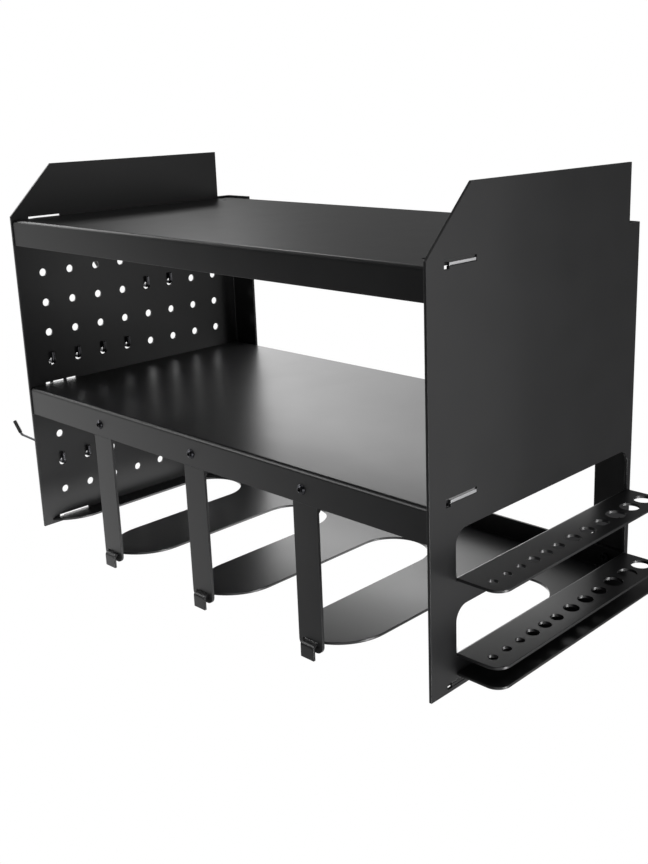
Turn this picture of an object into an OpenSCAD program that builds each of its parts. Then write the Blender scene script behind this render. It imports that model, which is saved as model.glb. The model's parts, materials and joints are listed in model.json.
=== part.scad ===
// Wall-hung power tool cabinet in folded sheet steel: two side panels, three shelves,
// straps, a bit tray and peg hooks.
// Frame: X runs across the cabinet and is centred, Y = 0 is the wall, the front is at -Y,
// Z = 0 is the middle of the four wall holes. Heights below are taken from the panels' bottom
// edges, and hung() sets the finished pieces about that middle.

/* [Body] */
// Width over the two side panels
body_w = 441; // [420:1:480]
// Depth of the side panels from the wall to their front edges
body_d = 228.6; // [226:0.2:250]
// Height of the side panels
body_h = 308; // [300:1:330]
// Thickness of the sheet steel
sheet_t = 2; // [1.5:0.1:2.2]
// Size of the 45 degree corner at the top front of each panel
corner_cut = 40; // [20:1:42]
// Width of the flange that each panel turns along the wall
wall_flange_w = 30; // [28:1:40]

/* [Shelves] */
// Height of the top shelf's upper face
top_shelf_z = 265; // [260:1:268]
// Height of the middle shelf's upper face
middle_shelf_z = 125; // [122:1:128]
// Height of the drill rack's upper face
drill_rack_z = 5; // [4.5:0.1:5.5]
// Height of the top shelf's front lip and of both shelves' rear lips
lip_h = 20.5; // [18:0.5:24]
// Height of the middle shelf's front lip
middle_lip_h = 22.8; // [21:0.2:26]
// How far the front lips sit behind the panels' front edges
lip_inset = 0.8; // [0.5:0.1:3]

/* [Drill rack] */
// Width of each drill slot
drill_slot_w = 57; // [50:1:62]
// Distance from the front edge to the round rear end of a drill slot
drill_slot_reach = 174; // [150:1:185]
// Width of the half finger beside each panel
end_finger_w = 17.75; // [14:0.25:20]
// Width of the straps that carry the fingers
strap_w = 22.5; // [18:0.5:26]

/* [Pegs] */
// Spacing of the peg holes both ways
peg_pitch = 25.4; // [25:0.1:25.6]
// Diameter of the peg holes
peg_d = 6.4; // [6.2:0.1:7]
// Wire diameter of the hooks where they pass through the panel
hook_wire_d = 3.4; // [3:0.1:3.4]

/* [Bit racks] */
// How far the racks and the tray stand out from the right panel
rack_reach = 33.2; // [30:0.2:38]
// Height of the upper rack's face
upper_rack_z = 74; // [72:1:78]
// Height of the lower rack's face
lower_rack_z = 24; // [23:1:28]
// Height of the tray's face under the racks
tray_z = 10.8; // [9:0.2:12]

/* [Hidden] */
$fn = 64;

// Finishes
coat = "#2e2e2f";
hardware = "#1b1b1c";
wire_finish = "#47474a";
vinyl = "#161616";

// Sheet and body
half_w = body_w / 2;
inner_x = half_w - sheet_t;
front_y = -body_d;
bend_in = 1;
bend_out = bend_in + sheet_t;
fold_tail = 0.5;
eps = 0.01;
over = 1;

// Panels: the wall flange ends just above the top shelf and the panel steps forward over it
wall_flange_over = 2;
wall_flange_top = top_shelf_z + wall_flange_over;
wall_step = 15.4;
step_y = -wall_step;
wall_hole_edge = 17.3;
wall_hole_x = half_w - wall_hole_edge;
wall_hole_low_z = 45;
wall_hole_drop = 40;
wall_hole_high_z = top_shelf_z - wall_hole_drop;
wall_hole_mid_z = (wall_hole_low_z + wall_hole_high_z) / 2;
wall_hole_d = 7;

// Shelves
lip_y = front_y + lip_inset;
shelf_rear_y = -sheet_t;
rear_lip_gap = 2.5;
rear_lip_half_w = inner_x - rear_lip_gap;
tab_back = 20;
tab_y = front_y + tab_back;
tab_len = 24.5;
tab_short = 0.2;
tab_slot_back = 15.5;
tab_slot_y = front_y + tab_slot_back;
tab_slot_len = 29.3;
tab_slot_rise = 1.4;
tab_slot_play = 0.1;
tab_notch_len = 4.3;
tab_notch_drop = 1.8;
rack_notch_drop = 0.4;
corner_hole_d = 4.5;
corner_hole_side = 20.5;
corner_hole_front = 24;
corner_hole_rear = 22.6;
corner_hole_x = half_w - corner_hole_side;
corner_hole_front_y = front_y + corner_hole_front;
corner_hole_rear_y = -corner_hole_rear;

// Shelf screws
shelf_screw_d = 4;
screw_play = 0.3;
shelf_screw_head_d = 7.2;
shelf_screw_head_h = 2.4;
shelf_screw_drop = 10;
rack_lip_h = 17.2;
rack_lip_top = drill_rack_z + rack_lip_h;
rack_screw_rise = 9;
rack_screw_z = drill_rack_z + rack_screw_rise;
cross_w = 1;
cross_len = 4;
cross_deep = 1.2;

// Drill rack: four slots, three fingers and two half fingers
slot_pitch = (2 * inner_x - drill_slot_w - 2 * end_finger_w) / 3;
slot_end_y = front_y + drill_slot_reach - drill_slot_w / 2;
finger_w = slot_pitch - drill_slot_w;
tip_r = 40;
finger_gap = 0.1;
tip_y = lip_y + sheet_t + finger_gap;
flare_y = tip_y + sqrt(pow(tip_r, 2) - pow(tip_r - finger_w / 2, 2));
finger_tab_w = 12.4;
finger_tab_out = 3.9;
finger_tab_drop = 11.5;

// Straps
strap_drop = 7;
strap_bottom_z = drill_rack_z - strap_drop;
strap_top_gap = 6;
strap_top_z = middle_shelf_z - strap_top_gap;
strap_corner_r = 6;
strap_gap = 0.1;
strap_slot_w = 14.4;
strap_slot_rise = 0.8;
strap_slot_play = 0.2;
lip_bottom_z = middle_shelf_z - middle_lip_h;
strap_screw_left = 2.7;
strap_screw_rise = 9.5;
strap_screw_z = lip_bottom_z + strap_screw_rise;
strap_screw_d = 4;
strap_screw_head_d = 7.6;
strap_screw_head_h = 2.2;
strap_screw_tail = 1;
socket_across = 2.5;
socket_deep = 1.3;
nut_across = 7;
nut_h = 3.2;
hex_ratio = 2 / sqrt(3);

// Peg holes: one group above the middle shelf and one below it
peg_columns = 8;
peg_back = 23.6;
peg_first_y = front_y + peg_back;
high_rows = 4;
low_rows = 3;
peg_rise = 18.5;
peg_drop = 45.8;
high_first_z = middle_shelf_z + peg_rise;
low_first_z = middle_shelf_z - peg_drop;

// Bit racks and tray
rack_back = 24.4;
rack_wall_gap = 7.2;
rack_front_y = front_y + rack_back;
rack_rear_y = -rack_wall_gap;
rack_len = rack_rear_y - rack_front_y;
rack_corner_r = 10;
rack_cut_h = rack_reach - bend_out;
bit_out = 20;
bit_x = half_w + bit_out;
bit_start = 10.1;
bit_pitches = [14, 13.6, 17.1, 18.6];
bit_sizes = [6.5, 9, 11, 14];
bits_per_size = 3;
last_bit = len(bit_sizes) * bits_per_size - 1;
tray_tab_len = 20;
tray_tab_rise = 7;
tray_tab_play = 0.2;
tray_tabs = [0.25, 0.5, 0.75];

// Hooks: local origin on the hinge axis, in the middle of the panel's sheet
wire_r = hook_wire_d / 2;
arm_r = 1.1;
wire_bend_in = 0.5;
wire_bend = wire_r + wire_bend_in;
hook_gap_out = 0.7;
hook_gap_in = 0.3;
bar_x = -(sheet_t / 2 + hook_gap_out + wire_r);
leg_x = sheet_t / 2 + hook_gap_in + wire_r;
leg_top = 8.5;
arm_reach = 90.5;
arm_rise = 3.2;
arm_slope = atan2(arm_rise, arm_reach + bar_x);
arm_len = norm([arm_reach + bar_x, arm_rise]);
arm_bend = 4;
arm_bend_swell = 0.05;
arm_bite = 0.5;
tip_angle = 46;
tip_turn = tip_angle - arm_slope;
tip_trim = arm_bend * tan(tip_turn / 2);
tip_len = 14.5;
j_drop = 20;
j_bend = 12;
j_rise = 11;
j_wire_r = 1.5;
cap_wall = 0.55;
cap_play = 0.05;
cap_len = 12;
cap_end = 0.8;

function peg_y(column) = peg_first_y + (column - 1) * peg_pitch;
function high_z(row) = high_first_z + (row - 1) * peg_pitch;
function low_z(row) = low_first_z - (row - 1) * peg_pitch;
function sum_to(list, count) = count <= 0 ? 0 : list[count - 1] + sum_to(list, count - 1);
// Pitch from bit hole number to the next one, and the place of each along the rack
function bit_size(number) = bit_sizes[floor(number / bits_per_size)];
function bit_gaps() = [for (number = [1 : last_bit]) bit_pitches[floor(number / bits_per_size)]];
function bit_y(number) = rack_front_y + bit_start + sum_to(bit_gaps(), number);

// Sets a piece about the middle of the wall holes
module hung() {
    translate([0, 0, -wall_hole_mid_z]) children();
}

// Profile drawn in Y and Z, run along X about the middle
module along_x(length) {
    rotate([90, 0, 90]) linear_extrude(length, center = true) children();
}

// Profile drawn in X and Z, run along Y about the middle
module along_y(length) {
    rotate([90, 0, 0]) linear_extrude(length, center = true) children();
}

// Section of a right-angle fold about its centre, with short tails that run on into both sheets
module fold_2d() {
    intersection() {
        difference() {
            circle(bend_out);
            circle(bend_in);
        }
        square(bend_out);
    }
    translate([bend_in, -fold_tail]) square([sheet_t, fold_tail]);
    translate([-fold_tail, bend_in]) square([fold_tail, sheet_t]);
}

// Rectangle from the origin with both corners on its far side rounded
module tongue_2d(length, reach, radius) {
    square([length, reach - radius]);
    translate([radius, 0]) square([length - 2 * radius, reach]);
    for (place = [radius, length - radius])
        translate([place, reach - radius]) circle(radius);
}

// Right-hand panel before any cutting: plate, fold and wall flange
module panel_blank() {
    translate([half_w - sheet_t / 2, 0, 0]) along_x(sheet_t)
        polygon([[front_y, 0], [-bend_out, 0], [-bend_out, wall_flange_top],
            [step_y, wall_flange_top], [step_y, body_h], [front_y + corner_cut, body_h],
            [front_y, body_h - corner_cut]]);
    linear_extrude(wall_flange_top) {
        translate([inner_x - bend_in, -bend_out]) fold_2d();
        translate([half_w - wall_flange_w, -sheet_t])
            square([wall_flange_w - bend_out, sheet_t]);
    }
}

// Slots for the shelves' tabs, with a wider notch at the front end
module tab_slots() {
    tab_slot(top_shelf_z, tab_notch_drop);
    tab_slot(middle_shelf_z, tab_notch_drop);
    tab_slot(drill_rack_z, rack_notch_drop);
}

module tab_slot(shelf_z, notch_drop) {
    translate([inner_x - over, tab_slot_y, shelf_z - sheet_t - tab_slot_play])
        cube([sheet_t + 2 * over, tab_slot_len, sheet_t + tab_slot_play + tab_slot_rise]);
    translate([inner_x - over, tab_slot_y, shelf_z - sheet_t - notch_drop])
        cube([sheet_t + 2 * over, tab_notch_len, sheet_t + notch_drop]);
}

// Holes through the wall flange for wall screws and shelf screws
module flange_holes() {
    for (hole_z = [wall_hole_low_z, wall_hole_high_z])
        flange_hole(wall_hole_d, hole_z);
    for (hole_z = shelf_screw_heights())
        flange_hole(shelf_screw_d + 2 * screw_play, hole_z);
}

module flange_hole(diameter, height) {
    translate([wall_hole_x, -sheet_t / 2, height]) rotate([90, 0, 0])
        cylinder(d = diameter, h = 3 * sheet_t, center = true);
}

function shelf_screw_heights() =
    [rack_screw_z, middle_shelf_z - shelf_screw_drop, top_shelf_z - shelf_screw_drop];

module left_panel() {
    color(coat) difference() {
        mirror([1, 0, 0]) difference() {
            panel_blank();
            tab_slots();
            flange_holes();
        }
        for (column = [1 : peg_columns]) {
            for (row = [1 : high_rows]) peg_hole(peg_y(column), high_z(row));
            for (row = [1 : low_rows]) peg_hole(peg_y(column), low_z(row));
        }
    }
}

module peg_hole(place_y, place_z) {
    translate([sheet_t / 2 - half_w, place_y, place_z]) rotate([0, 90, 0])
        cylinder(d = peg_d, h = 3 * sheet_t, center = true);
}

// Opening left in the panel by a rack folded out at its foot
module rack_cut(rack_z) {
    translate([inner_x - over, rack_front_y, rack_z - bend_out])
        rotate([90, 0, 90]) linear_extrude(sheet_t + 2 * over)
            tongue_2d(rack_len, rack_cut_h + bend_out, rack_corner_r);
}

// Rack folded out of the panel, with bit holes that grow towards the wall
module rack(rack_z) {
    translate([half_w + bend_in, rack_front_y + rack_len / 2, rack_z - bend_out])
        mirror([1, 0, 0]) along_y(rack_len) fold_2d();
    translate([0, 0, rack_z - sheet_t]) linear_extrude(sheet_t) difference() {
        rack_outline_2d(bend_in);
        for (number = [0 : last_bit])
            translate([bit_x, bit_y(number)]) circle(d = bit_size(number));
    }
}

// Outline of a rack or the tray from a given distance outside the panel
module rack_outline_2d(start) {
    translate([half_w + start, rack_rear_y]) rotate(-90)
        tongue_2d(rack_len, rack_reach - start, rack_corner_r);
}

module right_panel() {
    color(coat) {
        difference() {
            panel_blank();
            tab_slots();
            flange_holes();
            rack_cut(upper_rack_z);
            rack_cut(lower_rack_z);
            for (share = tray_tabs) tray_slot(share);
        }
        rack(upper_rack_z);
        rack(lower_rack_z);
    }
}

// Slot that a tab of the bit tray passes through
module tray_slot(share) {
    translate([inner_x - over, rack_front_y + share * rack_len - tray_tab_len / 2 - tray_tab_play,
        tray_z - sheet_t - tray_tab_play])
        cube([sheet_t + 2 * over, tray_tab_len + 2 * tray_tab_play,
            sheet_t + bend_in + 2 * tray_tab_play]);
}

// Tray under the racks: its tabs pass through the panel and turn up inside it
module bit_tray() {
    fold_x = inner_x - tray_tab_play + bend_in;
    color(coat) {
        translate([0, 0, tray_z - sheet_t]) linear_extrude(sheet_t) rack_outline_2d(0);
        for (share = tray_tabs) translate([0, rack_front_y + share * rack_len, 0]) {
            translate([fold_x, -tray_tab_len / 2, tray_z - sheet_t])
                cube([half_w - fold_x, tray_tab_len, sheet_t]);
            translate([fold_x, 0, tray_z + bend_in]) rotate([0, 180, 0])
                along_y(tray_tab_len) fold_2d();
            translate([fold_x - bend_out, -tray_tab_len / 2, tray_z + bend_in])
                cube([sheet_t, tray_tab_len, tray_tab_rise]);
        }
    }
}

// Flat shelf with its tabs, a front lip folded down and a rear lip folded down
module shelf(shelf_z, front_lip_h) {
    difference() {
        union() {
            along_x(2 * inner_x) {
                translate([lip_y, shelf_z - front_lip_h]) square([sheet_t, front_lip_h - bend_out]);
                translate([lip_y + bend_out, shelf_z - bend_out]) mirror([1, 0]) fold_2d();
                translate([lip_y + bend_out, shelf_z - sheet_t])
                    square([shelf_rear_y - lip_y - 2 * bend_out, sheet_t]);
            }
            along_x(2 * rear_lip_half_w) {
                translate([shelf_rear_y - bend_out, shelf_z - bend_out]) fold_2d();
                translate([shelf_rear_y - sheet_t, shelf_z - lip_h])
                    square([sheet_t, lip_h - bend_out]);
            }
            shelf_tabs(shelf_z);
        }
        shelf_screw_holes(shelf_z - shelf_screw_drop);
    }
}

module shelf_tabs(shelf_z) {
    for (side = [0, 1]) mirror([side, 0, 0])
        translate([inner_x - over, tab_y, shelf_z - sheet_t])
            cube([sheet_t + over - tab_short, tab_len, sheet_t]);
}

module shelf_screw_holes(height) {
    for (side = [-1, 1])
        translate([side * wall_hole_x, shelf_rear_y - sheet_t / 2, height]) rotate([90, 0, 0])
            cylinder(d = shelf_screw_d + 2 * screw_play, h = 1.5 * sheet_t, center = true);
}

module top_shelf() {
    color(coat) difference() {
        shelf(top_shelf_z, lip_h);
        for (side = [-1, 1], place_y = [corner_hole_front_y, corner_hole_rear_y])
            translate([side * corner_hole_x, place_y, top_shelf_z - sheet_t / 2])
                cylinder(d = corner_hole_d, h = 2 * sheet_t, center = true);
    }
}

module middle_shelf() {
    color(coat) difference() {
        shelf(middle_shelf_z, middle_lip_h);
        for (place = [-1 : 1])
            translate([strap_screw_x(place), lip_y + sheet_t / 2, strap_screw_z]) rotate([90, 0, 0])
                cylinder(d = strap_screw_d + 2 * screw_play, h = 2 * sheet_t, center = true);
    }
}

// Flat of the drill rack: open slots with round ends, and fingers with arched tips
module drill_rack_2d() {
    difference() {
        translate([-inner_x, flare_y])
            square([2 * inner_x, shelf_rear_y - bend_out - flare_y]);
        for (place = [-1.5 : 1.5]) translate([place * slot_pitch, 0]) {
            translate([0, slot_end_y]) circle(d = drill_slot_w);
            translate([-drill_slot_w / 2, flare_y - over])
                square([drill_slot_w, slot_end_y - flare_y + over]);
        }
    }
    for (place = [-1 : 1]) translate([place * slot_pitch, 0]) intersection() {
        tip_arc_2d(-finger_w / 2);
        mirror([1, 0]) tip_arc_2d(-finger_w / 2);
        translate([-finger_w / 2, tip_y]) square([finger_w, flare_y - tip_y + over]);
    }
    for (side = [0, 1]) mirror([side, 0]) intersection() {
        tip_arc_2d(inner_x - end_finger_w);
        translate([inner_x - end_finger_w, tip_y]) square([end_finger_w, flare_y - tip_y + over]);
    }
}

// Disc whose left edge meets the side of a finger where its tip starts to round off
module tip_arc_2d(edge_x) {
    translate([edge_x + tip_r, flare_y]) circle(tip_r);
}

// Tab at a finger's tip: forward through the strap, then down in front of it
module finger_tab() {
    fold_y = lip_y - finger_tab_out + bend_out;
    translate([0, fold_y, drill_rack_z - bend_out]) along_x(finger_tab_w) {
        mirror([1, 0]) fold_2d();
        translate([-bend_out, bend_out - finger_tab_drop])
            square([sheet_t, finger_tab_drop - bend_out]);
        translate([0, bend_in]) square([tip_y + bend_out - fold_y, sheet_t]);
    }
}

module drill_rack() {
    color(coat) difference() {
        union() {
            translate([0, 0, drill_rack_z - sheet_t]) linear_extrude(sheet_t) drill_rack_2d();
            for (place = [-1 : 1]) translate([place * slot_pitch, 0, 0]) finger_tab();
            along_x(2 * rear_lip_half_w) {
                translate([shelf_rear_y - bend_out, drill_rack_z + bend_in])
                    mirror([0, 1]) fold_2d();
                translate([shelf_rear_y - sheet_t, drill_rack_z + bend_in])
                    square([sheet_t, rack_lip_top - drill_rack_z - bend_in]);
            }
            shelf_tabs(drill_rack_z);
        }
        shelf_screw_holes(rack_screw_z);
    }
}

// Strap: behind the shelf's lip at the top, stepped forward below it, slotted at the foot
module strap(place) {
    step_z = lip_bottom_z - strap_gap;
    color(coat) translate([place * slot_pitch, 0, 0]) difference() {
        intersection() {
            along_x(strap_w)
                polygon([[lip_y, strap_bottom_z], [lip_y, step_z], [lip_y + sheet_t, step_z],
                    [lip_y + sheet_t, strap_top_z], [lip_y + 2 * sheet_t, strap_top_z],
                    [lip_y + 2 * sheet_t, step_z - sheet_t], [lip_y + sheet_t, step_z - 2 * sheet_t],
                    [lip_y + sheet_t, strap_bottom_z]]);
            translate([-strap_w / 2, lip_y, strap_top_z]) mirror([0, 0, 1]) along_y(6 * sheet_t)
                tongue_2d(strap_w, strap_top_z - strap_bottom_z, strap_corner_r);
        }
        translate([-strap_slot_w / 2, lip_y - over, drill_rack_z - sheet_t - strap_slot_play])
            cube([strap_slot_w, sheet_t + 2 * over, sheet_t + strap_slot_play + strap_slot_rise]);
        translate([-strap_screw_left, lip_y + 1.5 * sheet_t, strap_screw_z]) rotate([90, 0, 0])
            cylinder(d = strap_screw_d + 2 * screw_play, h = 2 * sheet_t, center = true);
    }
}

// Screws sit a little left of the straps' middles
function strap_screw_x(place) = place * slot_pitch - strap_screw_left;

// Button-head screw through the lip and the strap
module strap_screw(place) {
    dome_r = (pow(strap_screw_head_d / 2, 2) + pow(strap_screw_head_h, 2)) / (2 * strap_screw_head_h);
    shank = 2 * sheet_t + nut_h + strap_screw_tail;
    color(hardware) translate([strap_screw_x(place), lip_y, strap_screw_z]) rotate([90, 0, 0]) {
        difference() {
            intersection() {
                translate([0, 0, strap_screw_head_h - dome_r]) sphere(dome_r);
                cylinder(d = strap_screw_head_d + over, h = strap_screw_head_h);
            }
            translate([0, 0, strap_screw_head_h - socket_deep])
                cylinder(d = socket_across * hex_ratio, h = socket_deep + over, $fn = 6);
        }
        translate([0, 0, -shank]) cylinder(d = strap_screw_d, h = shank + eps);
    }
}

module strap_nut(place) {
    color(hardware) translate([strap_screw_x(place), lip_y + 2 * sheet_t, strap_screw_z])
        rotate([-90, 0, 0]) difference() {
            cylinder(d = nut_across * hex_ratio, h = nut_h, $fn = 6);
            translate([0, 0, -over]) cylinder(d = strap_screw_d + 2 * screw_play, h = nut_h + 2 * over);
        }
}

// Pan-head screw from inside the cabinet, through a shelf's rear lip into the wall flange
module shelf_screw(side, height) {
    color(hardware) translate([side * wall_hole_x, shelf_rear_y - sheet_t, height]) rotate([90, 0, 0]) {
        difference() {
            cylinder(d = shelf_screw_head_d, h = shelf_screw_head_h);
            for (turn = [0, 90]) rotate(turn)
                translate([-cross_len / 2, -cross_w / 2, shelf_screw_head_h - cross_deep])
                    cube([cross_len, cross_w, cross_deep + over]);
        }
        translate([0, 0, -2 * sheet_t]) cylinder(d = shelf_screw_d, h = 2 * sheet_t + eps);
    }
}

// Puts a hook on the left panel, midway between a column and the next one
module at_peg(column, height) {
    translate([sheet_t / 2 - half_w, peg_y(column) + peg_pitch / 2, height]) children();
}

// Two prongs that pass through the panel and turn up inside it, joined by a bar outside
module hook_base() {
    for (side = [0, 1]) mirror([0, side, 0]) translate([0, peg_pitch / 2, 0]) {
        translate([leg_x, 0, wire_bend]) cylinder(r = wire_r, h = leg_top - wire_bend);
        translate([leg_x - wire_bend, 0, wire_bend]) rotate([90, 0, 0])
            rotate([0, 0, -90]) wire_elbow();
        translate([bar_x + wire_bend, 0, 0]) rotate([0, 90, 0])
            cylinder(r = wire_r, h = leg_x - bar_x - 2 * wire_bend);
        translate([bar_x + wire_bend, -wire_bend, 0]) rotate(90) wire_elbow();
    }
    translate([bar_x, 0, 0]) rotate([90, 0, 0])
        cylinder(r = wire_r, h = peg_pitch - 2 * wire_bend, center = true);
}

// Quarter bend of the prong wire about the local Z axis, from +X round to +Y
module wire_elbow() {
    rotate_extrude(angle = 90) translate([wire_bend, 0]) circle(wire_r);
}

// Straight arm that rises a little and turns up at its end
module long_hook() {
    color(wire_finish) {
        hook_base();
        along_arm() cylinder(r = arm_r, h = arm_len - tip_trim + arm_bite);
        along_arm() translate([arm_bend, 0, arm_len - tip_trim]) rotate([90, tip_turn - 180, 0])
            rotate_extrude(angle = tip_turn) translate([arm_bend, 0]) circle(arm_r + arm_bend_swell);
        at_tip() translate([0, 0, -arm_bite]) cylinder(r = arm_r, h = tip_len - tip_trim + arm_bite);
    }
}

// Local Z along the arm from the middle of the bar, local X upwards
module along_arm() {
    translate([bar_x, 0, 0]) rotate([0, arm_slope - 90, 0]) children();
}

// Local Z along the turned-up tip, from the end of its bend
module at_tip() {
    along_arm() translate([arm_bend * (1 - cos(tip_turn)), 0, arm_len - tip_trim + arm_bend * sin(tip_turn)])
        rotate([0, tip_turn, 0]) children();
}

// Short hook: a leg down the panel that turns out and up
module short_hook() {
    color(wire_finish) {
        hook_base();
        translate([bar_x, 0, -j_drop]) cylinder(r = j_wire_r, h = j_drop);
        translate([bar_x - j_bend, 0, -j_drop]) rotate([-90, 0, 0])
            rotate_extrude(angle = 180) translate([j_bend, 0]) circle(j_wire_r);
        translate([bar_x - 2 * j_bend, 0, -j_drop]) cylinder(r = j_wire_r, h = j_rise);
    }
}

// Vinyl sleeve with a closed end, its mouth at the origin
module tip_cap(radius) {
    bore_r = radius + cap_play;
    color(vinyl) difference() {
        cylinder(r = bore_r + cap_wall, h = cap_len + cap_end);
        translate([0, 0, -over]) cylinder(r = bore_r, h = cap_len + over);
    }
}

module long_cap() {
    at_tip() translate([0, 0, tip_len - tip_trim - cap_len]) tip_cap(arm_r);
}

module short_cap() {
    translate([bar_x - 2 * j_bend, 0, -j_drop + j_rise - cap_len]) tip_cap(j_wire_r);
}

hung() left_panel();
hung() right_panel();
hung() top_shelf();
hung() middle_shelf();
hung() drill_rack();
hung() strap(-1);  // strap_left
hung() strap(0);  // strap_middle
hung() strap(1);  // strap_right
hung() strap_screw(-1);  // strap_screw_left
hung() strap_screw(0);  // strap_screw_middle
hung() strap_screw(1);  // strap_screw_right
hung() strap_nut(-1);  // strap_nut_left
hung() strap_nut(0);  // strap_nut_middle
hung() strap_nut(1);  // strap_nut_right
hung() bit_tray();
hung() shelf_screw(-1, top_shelf_z - shelf_screw_drop);  // top_screw_left
hung() shelf_screw(1, top_shelf_z - shelf_screw_drop);  // top_screw_right
hung() shelf_screw(-1, middle_shelf_z - shelf_screw_drop);  // middle_screw_left
hung() shelf_screw(1, middle_shelf_z - shelf_screw_drop);  // middle_screw_right
hung() shelf_screw(-1, rack_screw_z);  // rack_screw_left
hung() shelf_screw(1, rack_screw_z);  // rack_screw_right
hung() at_peg(1, low_z(2)) long_hook();  // hook_low
hung() at_peg(5, high_z(3)) long_hook();  // hook_high
hung() at_peg(1, high_z(1)) short_hook();  // hook_front
hung() at_peg(3, high_z(1)) short_hook();  // hook_back
hung() at_peg(1, low_z(2)) long_cap();  // cap_low
hung() at_peg(5, high_z(3)) long_cap();  // cap_high
hung() at_peg(1, high_z(1)) short_cap();  // cap_front
hung() at_peg(3, high_z(1)) short_cap();  // cap_back
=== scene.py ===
import json
import math

import bmesh
import bpy
import numpy as np
from mathutils import Matrix, Vector

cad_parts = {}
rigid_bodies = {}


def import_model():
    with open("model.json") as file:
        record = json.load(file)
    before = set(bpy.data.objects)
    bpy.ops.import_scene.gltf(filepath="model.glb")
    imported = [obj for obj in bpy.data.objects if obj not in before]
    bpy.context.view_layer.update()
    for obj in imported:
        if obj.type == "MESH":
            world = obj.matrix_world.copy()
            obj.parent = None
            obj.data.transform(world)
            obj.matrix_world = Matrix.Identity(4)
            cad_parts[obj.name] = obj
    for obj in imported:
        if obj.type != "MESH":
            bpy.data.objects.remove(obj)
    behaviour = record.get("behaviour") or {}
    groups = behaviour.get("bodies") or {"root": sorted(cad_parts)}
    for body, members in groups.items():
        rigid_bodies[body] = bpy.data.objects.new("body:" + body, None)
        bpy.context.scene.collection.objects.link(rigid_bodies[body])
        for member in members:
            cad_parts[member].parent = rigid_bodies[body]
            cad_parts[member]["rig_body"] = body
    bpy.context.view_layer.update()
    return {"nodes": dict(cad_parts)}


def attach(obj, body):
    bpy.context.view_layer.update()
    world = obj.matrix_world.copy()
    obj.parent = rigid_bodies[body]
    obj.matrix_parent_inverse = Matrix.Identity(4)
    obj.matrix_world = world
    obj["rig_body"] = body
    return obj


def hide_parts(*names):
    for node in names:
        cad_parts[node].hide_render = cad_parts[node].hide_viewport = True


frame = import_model()

MM = 0.001

# Photograph's frame in pixels, and the lens, place and turns in degrees of the camera that took it
PHOTO_SIZE = (648, 864)
FOCAL_PIXELS = 1082.4
LENS_CENTRE = (374.94, 386.89)
SENSOR_MM = 36
CAMERA_PLACE = (0.5972, -0.6705, 0.2191)
CAMERA_TURN = 43.324
CAMERA_TILT = -14.997
CAMERA_ROLL = 1.485

# Pieces of the cabinet by finish
SHEETS = ["left_panel", "right_panel", "top_shelf", "middle_shelf", "drill_rack",
          "strap_left", "strap_middle", "strap_right", "bit_tray"]
HARDWARE = [name for name in frame["nodes"] if "screw" in name or "nut" in name]
HOOKS = [name for name in frame["nodes"] if name.startswith("hook_")]
CAPS = [name for name in frame["nodes"] if name.startswith("cap_")]

# Shelves whose tabs' ends get a painted highlight, near-white metal standing in for the bright strip of light
# in the panels' slots, and how deep under the tabs' ends a face still counts as one
HIGHLIGHT_TABS = ["top_shelf", "middle_shelf"]
TAB_END_MM = 0.1

# Width of the round strip on sharp edges. Straps and the middle shelf have the narrowest, so that a strap
# meets the lip without a seam.
SHEET_EDGE_MM = 0.35
HARDWARE_EDGE_MM = 0.2
WIRE_EDGE_MM = 0.15
CAP_EDGE_MM = 0.25
OTHER_EDGES_MM = {"left_panel": 0.25, "right_panel": 0.3, "middle_shelf": 0.12,
                  "strap_left": 0.12, "strap_middle": 0.12, "strap_right": 0.12}

# Bit holes in the right panel's racks: the line that they lie on, the room for the widest one beside it,
# the stretch of the racks that holds them, and the strip on their punched edges
BIT_LINE_MM = 240.5
BIT_ROOM_MM = 7.2
BIT_STRETCH_MM = (-202.0, -9.0)
BIT_EDGE_MM = 0.1

# Corners closer than this are one, faces that meet flatter than this are one, and edges that turn more
# than this are sharp
MERGE_MM = 0.001
FLAT_ANGLE = math.radians(0.5)
SHARP_ANGLE = math.radians(40)

# Floor: rings and sectors of its grid, and the share of the rings that lies flat
FLOOR_RINGS = 24
FLOOR_SECTORS = 64
FLOOR_FLAT = 0.4

# Depth of the wall's glow behind the wall plane, and of a second layer where two glows lie over each other
WALL_GLOW_Y = 0.006
WALL_LAYER_Y = 0.007


def linear(colour):
    """Turns an sRGB hex colour into the linear numbers that a shader takes."""
    parts = np.array([int(colour[start:start + 2], 16) for start in (1, 3, 5)]) / 255
    low = parts / 12.92
    high = ((parts + 0.055) / 1.055) ** 2.4
    return (*np.where(parts <= 0.04045, low, high), 1.0)


def add(tree, kind, settings=None, links=None):
    """Adds a node, sets its properties or sockets by name, and links sockets to it."""
    node = tree.nodes.new(kind)
    for name, value in (settings or {}).items():
        if name in node.inputs:
            node.inputs[name].default_value = value
        else:
            setattr(node, name, value)
    for name, source in (links or {}).items():
        tree.links.new(source, node.inputs[name])
    return node


def per_mm(size):
    """Scale of a texture on coordinates in metres whose features are this many millimetres wide."""
    return 1 / (size * MM)


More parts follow.
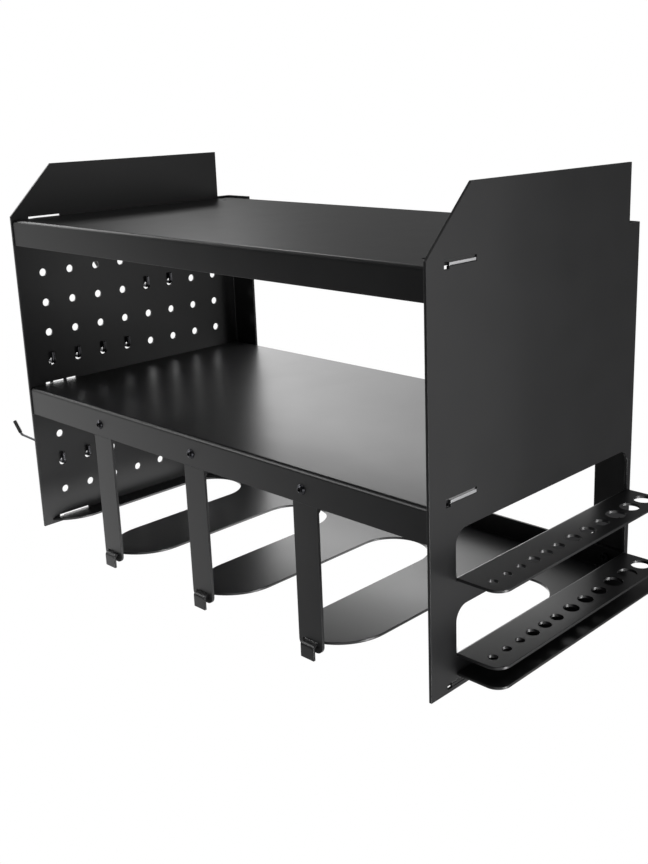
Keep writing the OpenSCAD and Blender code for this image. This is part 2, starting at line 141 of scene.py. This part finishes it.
def finish(name, colours, roughness, peel_mm, peel_height_mm, metallic=0.0, ior=1.5, cloud_mm=30, tab_highlight=None):
    """Surface with a cloudy colour and gloss, and small soft bumps of one size. Faces marked for a painted
    highlight show bright metal in the colour given for it, standing in for the light seen there."""
    material = bpy.data.materials.new(name)
    material.use_nodes = True
    tree = material.node_tree
    shader = tree.nodes["Principled BSDF"]
    shader.inputs["Metallic"].default_value = metallic
    shader.inputs["IOR"].default_value = ior
    place = add(tree, "ShaderNodeTexCoord").outputs["Object"]
    cloud = add(tree, "ShaderNodeTexNoise", {"Scale": per_mm(cloud_mm), "Detail": 4.0}, {"Vector": place})
    tint = add(tree, "ShaderNodeValToRGB", {}, {"Fac": cloud.outputs["Fac"]})
    for stop, position, colour in zip(tint.color_ramp.elements, (0.3, 0.7), colours):
        stop.position = position
        stop.color = linear(colour)
    tree.links.new(tint.outputs["Color"], shader.inputs["Base Color"])
    if tab_highlight:
        highlit = add(tree, "ShaderNodeAttribute", {"attribute_name": "tab_highlight"}).outputs["Fac"]
        shown = add(tree, "ShaderNodeMixRGB", {"Color2": linear(tab_highlight)},
                    {"Fac": highlit, "Color1": tint.outputs["Color"]})
        tree.links.new(shown.outputs["Color"], shader.inputs["Base Color"])
        tree.links.new(highlit, shader.inputs["Metallic"])
    gloss = add(tree, "ShaderNodeMapRange", {"To Min": roughness[0], "To Max": roughness[1]},
                {"Value": cloud.outputs["Fac"]})
    tree.links.new(gloss.outputs["Result"], shader.inputs["Roughness"])
    peel = add(tree, "ShaderNodeTexNoise", {"Scale": per_mm(peel_mm), "Detail": 1.0}, {"Vector": place})
    bump = add(tree, "ShaderNodeBump", {"Strength": 1.0, "Distance": peel_height_mm * MM},
               {"Height": peel.outputs["Fac"]})
    tree.links.new(bump.outputs["Normal"], shader.inputs["Normal"])
    return material


# Powder coat: an almost even soft black with a satin sheen, which blurs the wall into broad grey fields.
# Its orange peel only just breaks the reflections. The tabs' ends in the panels' slots get a painted
# highlight, a near-white metal colour that stands in for the bright strip of light there.
powder_coat = finish("satin_black_powder_coat", ("#1b1b1c", "#1f1f20"), roughness=(0.31, 0.36),
                     peel_mm=1.6, peel_height_mm=0.003, tab_highlight="#d2d2d4")
# Black oxide: dark oiled metal, with sharper glints on the screw heads than on the sheet around them
black_oxide = finish("black_oxide_steel", ("#3a3a3c", "#46464a"), roughness=(0.22, 0.32),
                     peel_mm=0.5, peel_height_mm=0.004, metallic=1.0)
# Black zinc: a slightly lighter metal than the oxide, so that each wire shows a bright line along its side
zinc_wire = finish("black_zinc_wire", ("#39393b", "#4a4a4d"), roughness=(0.25, 0.38),
                   peel_mm=0.8, peel_height_mm=0.004, metallic=1.0)
# Dipped vinyl: dull rubbery black with a lumpy skin, which ends the bright line at each hook's tip
vinyl = finish("dipped_black_vinyl", ("#141414", "#1a1a1a"), roughness=(0.35, 0.5),
               peel_mm=1.2, peel_height_mm=0.01, ior=1.52)


def on_bit_hole(edge):
    """True for an edge of the right panel on the rim of a bit hole."""
    middle = (edge.verts[0].co + edge.verts[1].co) / 2 / MM
    in_stretch = BIT_STRETCH_MM[0] < middle.y < BIT_STRETCH_MM[1]
    return in_stretch and abs(middle.x - BIT_LINE_MM) < BIT_ROOM_MM


def rolled_edges(name, width_mm, material):
    """Copy of a piece with its sharp edges rolled over by the finish: the triangles are merged, flat faces
    are joined, curved ones are shaded smooth, and each sharp edge gets a narrow round strip."""
    source = frame["nodes"][name]
    mesh = bpy.data.meshes.new(name + "_coated")
    work = bmesh.new()
    work.from_mesh(source.data)
    bmesh.ops.remove_doubles(work, verts=work.verts, dist=MERGE_MM * MM)
    bmesh.ops.dissolve_limit(work, angle_limit=FLAT_ANGLE, verts=work.verts, edges=work.edges)
    tab_end = max(abs(vertex.co.x) for vertex in work.verts) - TAB_END_MM * MM
    # Faces at the ends of these shelves' tabs are marked for the painted highlight
    tab_highlight = work.faces.layers.float.new("tab_highlight")
    for face in work.faces:
        face.smooth = True
        face[tab_highlight] = float(name in HIGHLIGHT_TABS and abs(face.calc_center_median().x) > tab_end)
    strip = work.edges.layers.float.new("bevel_weight_edge")
    for edge in work.edges:
        if edge.calc_face_angle(0.0) > SHARP_ANGLE:
            punched = name == "right_panel" and on_bit_hole(edge)
            edge[strip] = BIT_EDGE_MM / width_mm if punched else 1.0
    work.to_mesh(mesh)
    work.free()
    piece = bpy.data.objects.new(name + "_coated", mesh)
    bpy.context.scene.collection.objects.link(piece)
    mesh.materials.clear()
    mesh.materials.append(material)
    roll = piece.modifiers.new("rolled_edge", "BEVEL")
    roll.width = width_mm * MM
    roll.segments = 2
    roll.limit_method = "WEIGHT"
    roll.use_clamp_overlap = False
    flat = piece.modifiers.new("flat_faces", "WEIGHTED_NORMAL")
    flat.mode = "FACE_AREA"
    flat.weight = 100
    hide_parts(name)
    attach(piece, source["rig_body"])
    return piece


COATED = {name: rolled_edges(name, OTHER_EDGES_MM.get(name, SHEET_EDGE_MM), powder_coat)
          for name in SHEETS}
for name in HARDWARE:
    rolled_edges(name, HARDWARE_EDGE_MM, black_oxide)
for name in HOOKS:
    rolled_edges(name, WIRE_EDGE_MM, zinc_wire)
for name in CAPS:
    rolled_edges(name, CAP_EDGE_MM, vinyl)


def grid_mesh(name, points):
    """Mesh of a grid of points: rows by columns, with a face between each four neighbours."""
    rows, columns = points.shape[:2]
    index = np.arange(rows * columns).reshape(rows, columns)
    faces = np.stack([index[:-1, :-1], index[:-1, 1:], index[1:, 1:], index[1:, :-1]], -1).reshape(-1, 4)
    mesh = bpy.data.meshes.new(name)
    mesh.from_pydata(points.reshape(-1, 3).tolist(), [], faces.tolist())
    return mesh


def studio_floor(radius, height, drop):
    """Round floor that lies below the cabinet and curves up into a wall of a radius and a height. It glows
    evenly and throws no light on the cabinet, so the picture's ground stays plain white."""
    along = np.linspace(0, 1, FLOOR_RINGS)
    bend = np.clip((along - FLOOR_FLAT) / (1 - FLOOR_FLAT), 0, 1) * math.pi / 2
    flat_reach = radius - height
    reach = np.where(along < FLOOR_FLAT, along / FLOOR_FLAT * flat_reach, flat_reach + height * np.sin(bend))
    rise = height * (1 - np.cos(bend)) - drop
    turn = np.linspace(0, 2 * math.pi, FLOOR_SECTORS + 1)
    points = np.stack([np.outer(reach, np.cos(turn)), np.outer(reach, np.sin(turn)),
                       np.repeat(rise[:, None], turn.size, 1)], -1)
    floor = bpy.data.objects.new("studio_floor", grid_mesh("studio_floor", points))
    bpy.context.scene.collection.objects.link(floor)
    white = bpy.data.materials.new("lit_white_paper")
    white.use_nodes = True
    shader = white.node_tree.nodes["Principled BSDF"]
    shader.inputs["Base Color"].default_value = linear("#000000")
    shader.inputs["Emission Color"].default_value = linear("#ffffff")
    shader.inputs["Emission Strength"].default_value = 1.0
    shader.inputs["Specular IOR Level"].default_value = 0.0
    floor.data.materials.append(white)
    floor.visible_glossy = False
    floor.visible_diffuse = False
    floor.visible_shadow = False


def studio_air(front, back):
    """Dim light from all round that grows from one strength in front of the cabinet to another behind it."""
    world = bpy.data.worlds.new("studio_air")
    world.use_nodes = True
    tree = world.node_tree
    around = add(tree, "ShaderNodeTexCoord").outputs["Generated"]
    split = add(tree, "ShaderNodeSeparateXYZ", {}, {"Vector": around})
    depth = add(tree, "ShaderNodeMapRange",
                {"interpolation_type": "SMOOTHSTEP", "From Min": -0.5, "From Max": 0.5,
                 "To Min": front, "To Max": back},
                {"Value": split.outputs["Y"]})
    tree.links.new(depth.outputs["Result"], tree.nodes["Background"].inputs["Strength"])
    tree.nodes["Background"].inputs["Color"].default_value = linear("#ffffff")
    bpy.context.scene.world = world


def softbox(name, place, aim, size, strength, flagged=(), fade=None):
    """Rectangle of light at a place, turned to face a point, with the brightness that a mirror would show.
    The flagged pieces get none of it, as if a card stood between them and the light. A fade gives the share
    of its strength at its right edge, and the share of its width over which it grows to full."""
    data = bpy.data.lights.new(name, "AREA")
    data.shape = "RECTANGLE"
    data.size = size[0]
    data.size_y = size[1]
    data.energy = strength * size[0] * size[1] * math.pi
    light = bpy.data.objects.new(name, data)
    light.location = place
    light.rotation_euler = (Vector(place) - Vector(aim)).to_track_quat("Z", "Y").to_euler()
    light.visible_camera = False
    bpy.context.scene.collection.objects.link(light)
    if fade:
        data.use_nodes = True
        tree = data.node_tree
        spot = add(tree, "ShaderNodeNewGeometry").outputs["Parametric"]
        across = add(tree, "ShaderNodeSeparateXYZ", {}, {"Vector": spot})
        share = add(tree, "ShaderNodeMapRange", {"From Max": fade[1], "To Min": fade[0], "To Max": 1.0},
                    {"Value": across.outputs["X"]})
        tree.links.new(share.outputs["Result"], tree.nodes["Emission"].inputs["Strength"])
    if flagged:
        flag = bpy.data.collections.new(name + "_flag")
        light.light_linking.receiver_collection = flag
        for piece in flagged:
            flag.objects.link(COATED[piece])
        for member in flag.collection_objects:
            member.light_linking.link_state = "EXCLUDE"


def wall_glow(name, across, up, strength, flagged=(), fade=None, depth=WALL_GLOW_Y):
    """Softbox on the wall, from one place to another across it and from one height to another, facing out."""
    middle_x = sum(across) / 2
    middle_z = sum(up) / 2
    softbox(name, (middle_x, depth, middle_z), (middle_x, -1.0, middle_z),
            (across[1] - across[0], up[1] - up[0]), strength, flagged, fade)


def photo_camera():
    """Camera at the photograph's place, with its lens, turned from a level view along +Y."""
    data = bpy.data.cameras.new("photo_camera")
    width, height = PHOTO_SIZE
    data.sensor_width = SENSOR_MM
    data.lens = FOCAL_PIXELS / height * SENSOR_MM
    data.shift_x = (width / 2 - LENS_CENTRE[0]) / height
    data.shift_y = (LENS_CENTRE[1] - height / 2) / height
    camera = bpy.data.objects.new("photo_camera", data)
    turn = Matrix.Rotation(math.radians(CAMERA_TURN), 3, "Z")
    tilt = Matrix.Rotation(math.radians(CAMERA_TILT), 3, "X")
    roll = Matrix.Rotation(math.radians(CAMERA_ROLL), 3, "Y")
    level = Matrix.Rotation(math.pi / 2, 3, "X")
    camera.location = CAMERA_PLACE
    camera.rotation_euler = (turn @ tilt @ roll @ level).to_euler()
    bpy.context.scene.collection.objects.link(camera)
    bpy.context.scene.camera = camera


studio_floor(radius=6.0, height=3.0, drop=1.2)
studio_air(front=0.03, back=0.17)
# Glowing wall behind the cabinet: bright between the shelves and below them, dark above the top shelf. It
# fades behind the right panel, and a flag keeps it off the left one.
wall_glow("wall_glow_high", (-0.76, 0.10), (0.06, 0.125), 3.6, ["left_panel"], fade=(0.55, 0.36))
wall_glow("wall_glow_middle", (-0.76, 0.10), (-0.015, 0.06), 2.25, ["left_panel"], fade=(0.55, 0.36))
wall_glow("wall_glow_under", (-0.76, 0.20), (-0.05, -0.02), 6.4, ["left_panel"], fade=(0.06, 0.20))
wall_glow("wall_glow_low", (-0.76, 0.20), (-0.33, -0.05), 2.3, ["left_panel"], fade=(0.06, 0.20))
wall_glow("wall_glow_left", (-0.90, -0.30), (0.035, 0.125), 2.5, ["left_panel"])
# Wall under the cabinet, for the inner face of the left panel below the shelves
wall_glow("wall_glow_foot", (-0.21, 0.25), (-0.37, -0.13), 1.2, depth=WALL_LAYER_Y)
# Wall beside the cabinet, for the outer face of the right panel
wall_glow("wall_glow_right", (0.34, 1.27), (-0.26, 0.50), 0.37)
# Cards on the left, for the lips and straps, and a higher one further in front for the middle shelf's fold
softbox("left_card", place=(-1.0, -0.45, -0.50), aim=(0.0, -0.45, -0.50), size=(1.0, 0.8), strength=1.06)
softbox("left_high_card", place=(-1.0, -0.40, 0.20), aim=(0.0, -0.40, 0.20), size=(0.9, 0.6), strength=0.75)
softbox("left_low_card", place=(-1.0, -1.10, -0.58), aim=(0.0, -1.10, -0.58), size=(0.4, 0.45), strength=0.6)
softbox("fold_card", place=(-0.80, -1.05, 0.62), aim=(0.1, -0.2, 0.0), size=(0.6, 0.5), strength=5.0,
        flagged=["top_shelf"])
# Key lights from the upper left, for the folds and the top shelf
softbox("left_key", place=(-1.9, -0.15, 0.9), aim=(0.0, -0.15, 0.05), size=(1.0, 0.8), strength=3.5)
softbox("back_key", place=(-1.45, 0.88, 1.06), aim=(0.0, -0.1, 0.13), size=(0.3, 0.5), strength=4.2)
# Card behind on the right, for the inner face of the left panel
softbox("right_back_card", place=(1.92, 1.06, -0.05), aim=(-0.2, -0.1, 0.1), size=(0.50, 0.9), strength=1.6)
# Low light on the right, for the panels' front edges and the walls of the bit holes
softbox("right_low_key", place=(1.39, -0.05, -0.65), aim=(0.25, -0.15, -0.1), size=(0.45, 0.4), strength=18.0)
# Dim cards overhead and on the right front, for the sides that the photograph doesn't show
softbox("top_card", place=(0.2, -0.4, 2.6), aim=(0.0, -0.1, 0.0), size=(2.4, 2.4), strength=0.9)
softbox("front_card", place=(1.7, -1.5, -0.45), aim=(0.1, -0.1, 0.0), size=(1.8, 1.2), strength=2.0)
# Light from the floor
softbox("floor_bounce", place=(0.0, -0.3, -1.1), aim=(0.0, -0.3, 0.0), size=(2.5, 2.5), strength=0.5)
photo_camera()
# Plain sRGB, so that the white ground stays white
bpy.context.scene.view_settings.view_transform = "Standard"
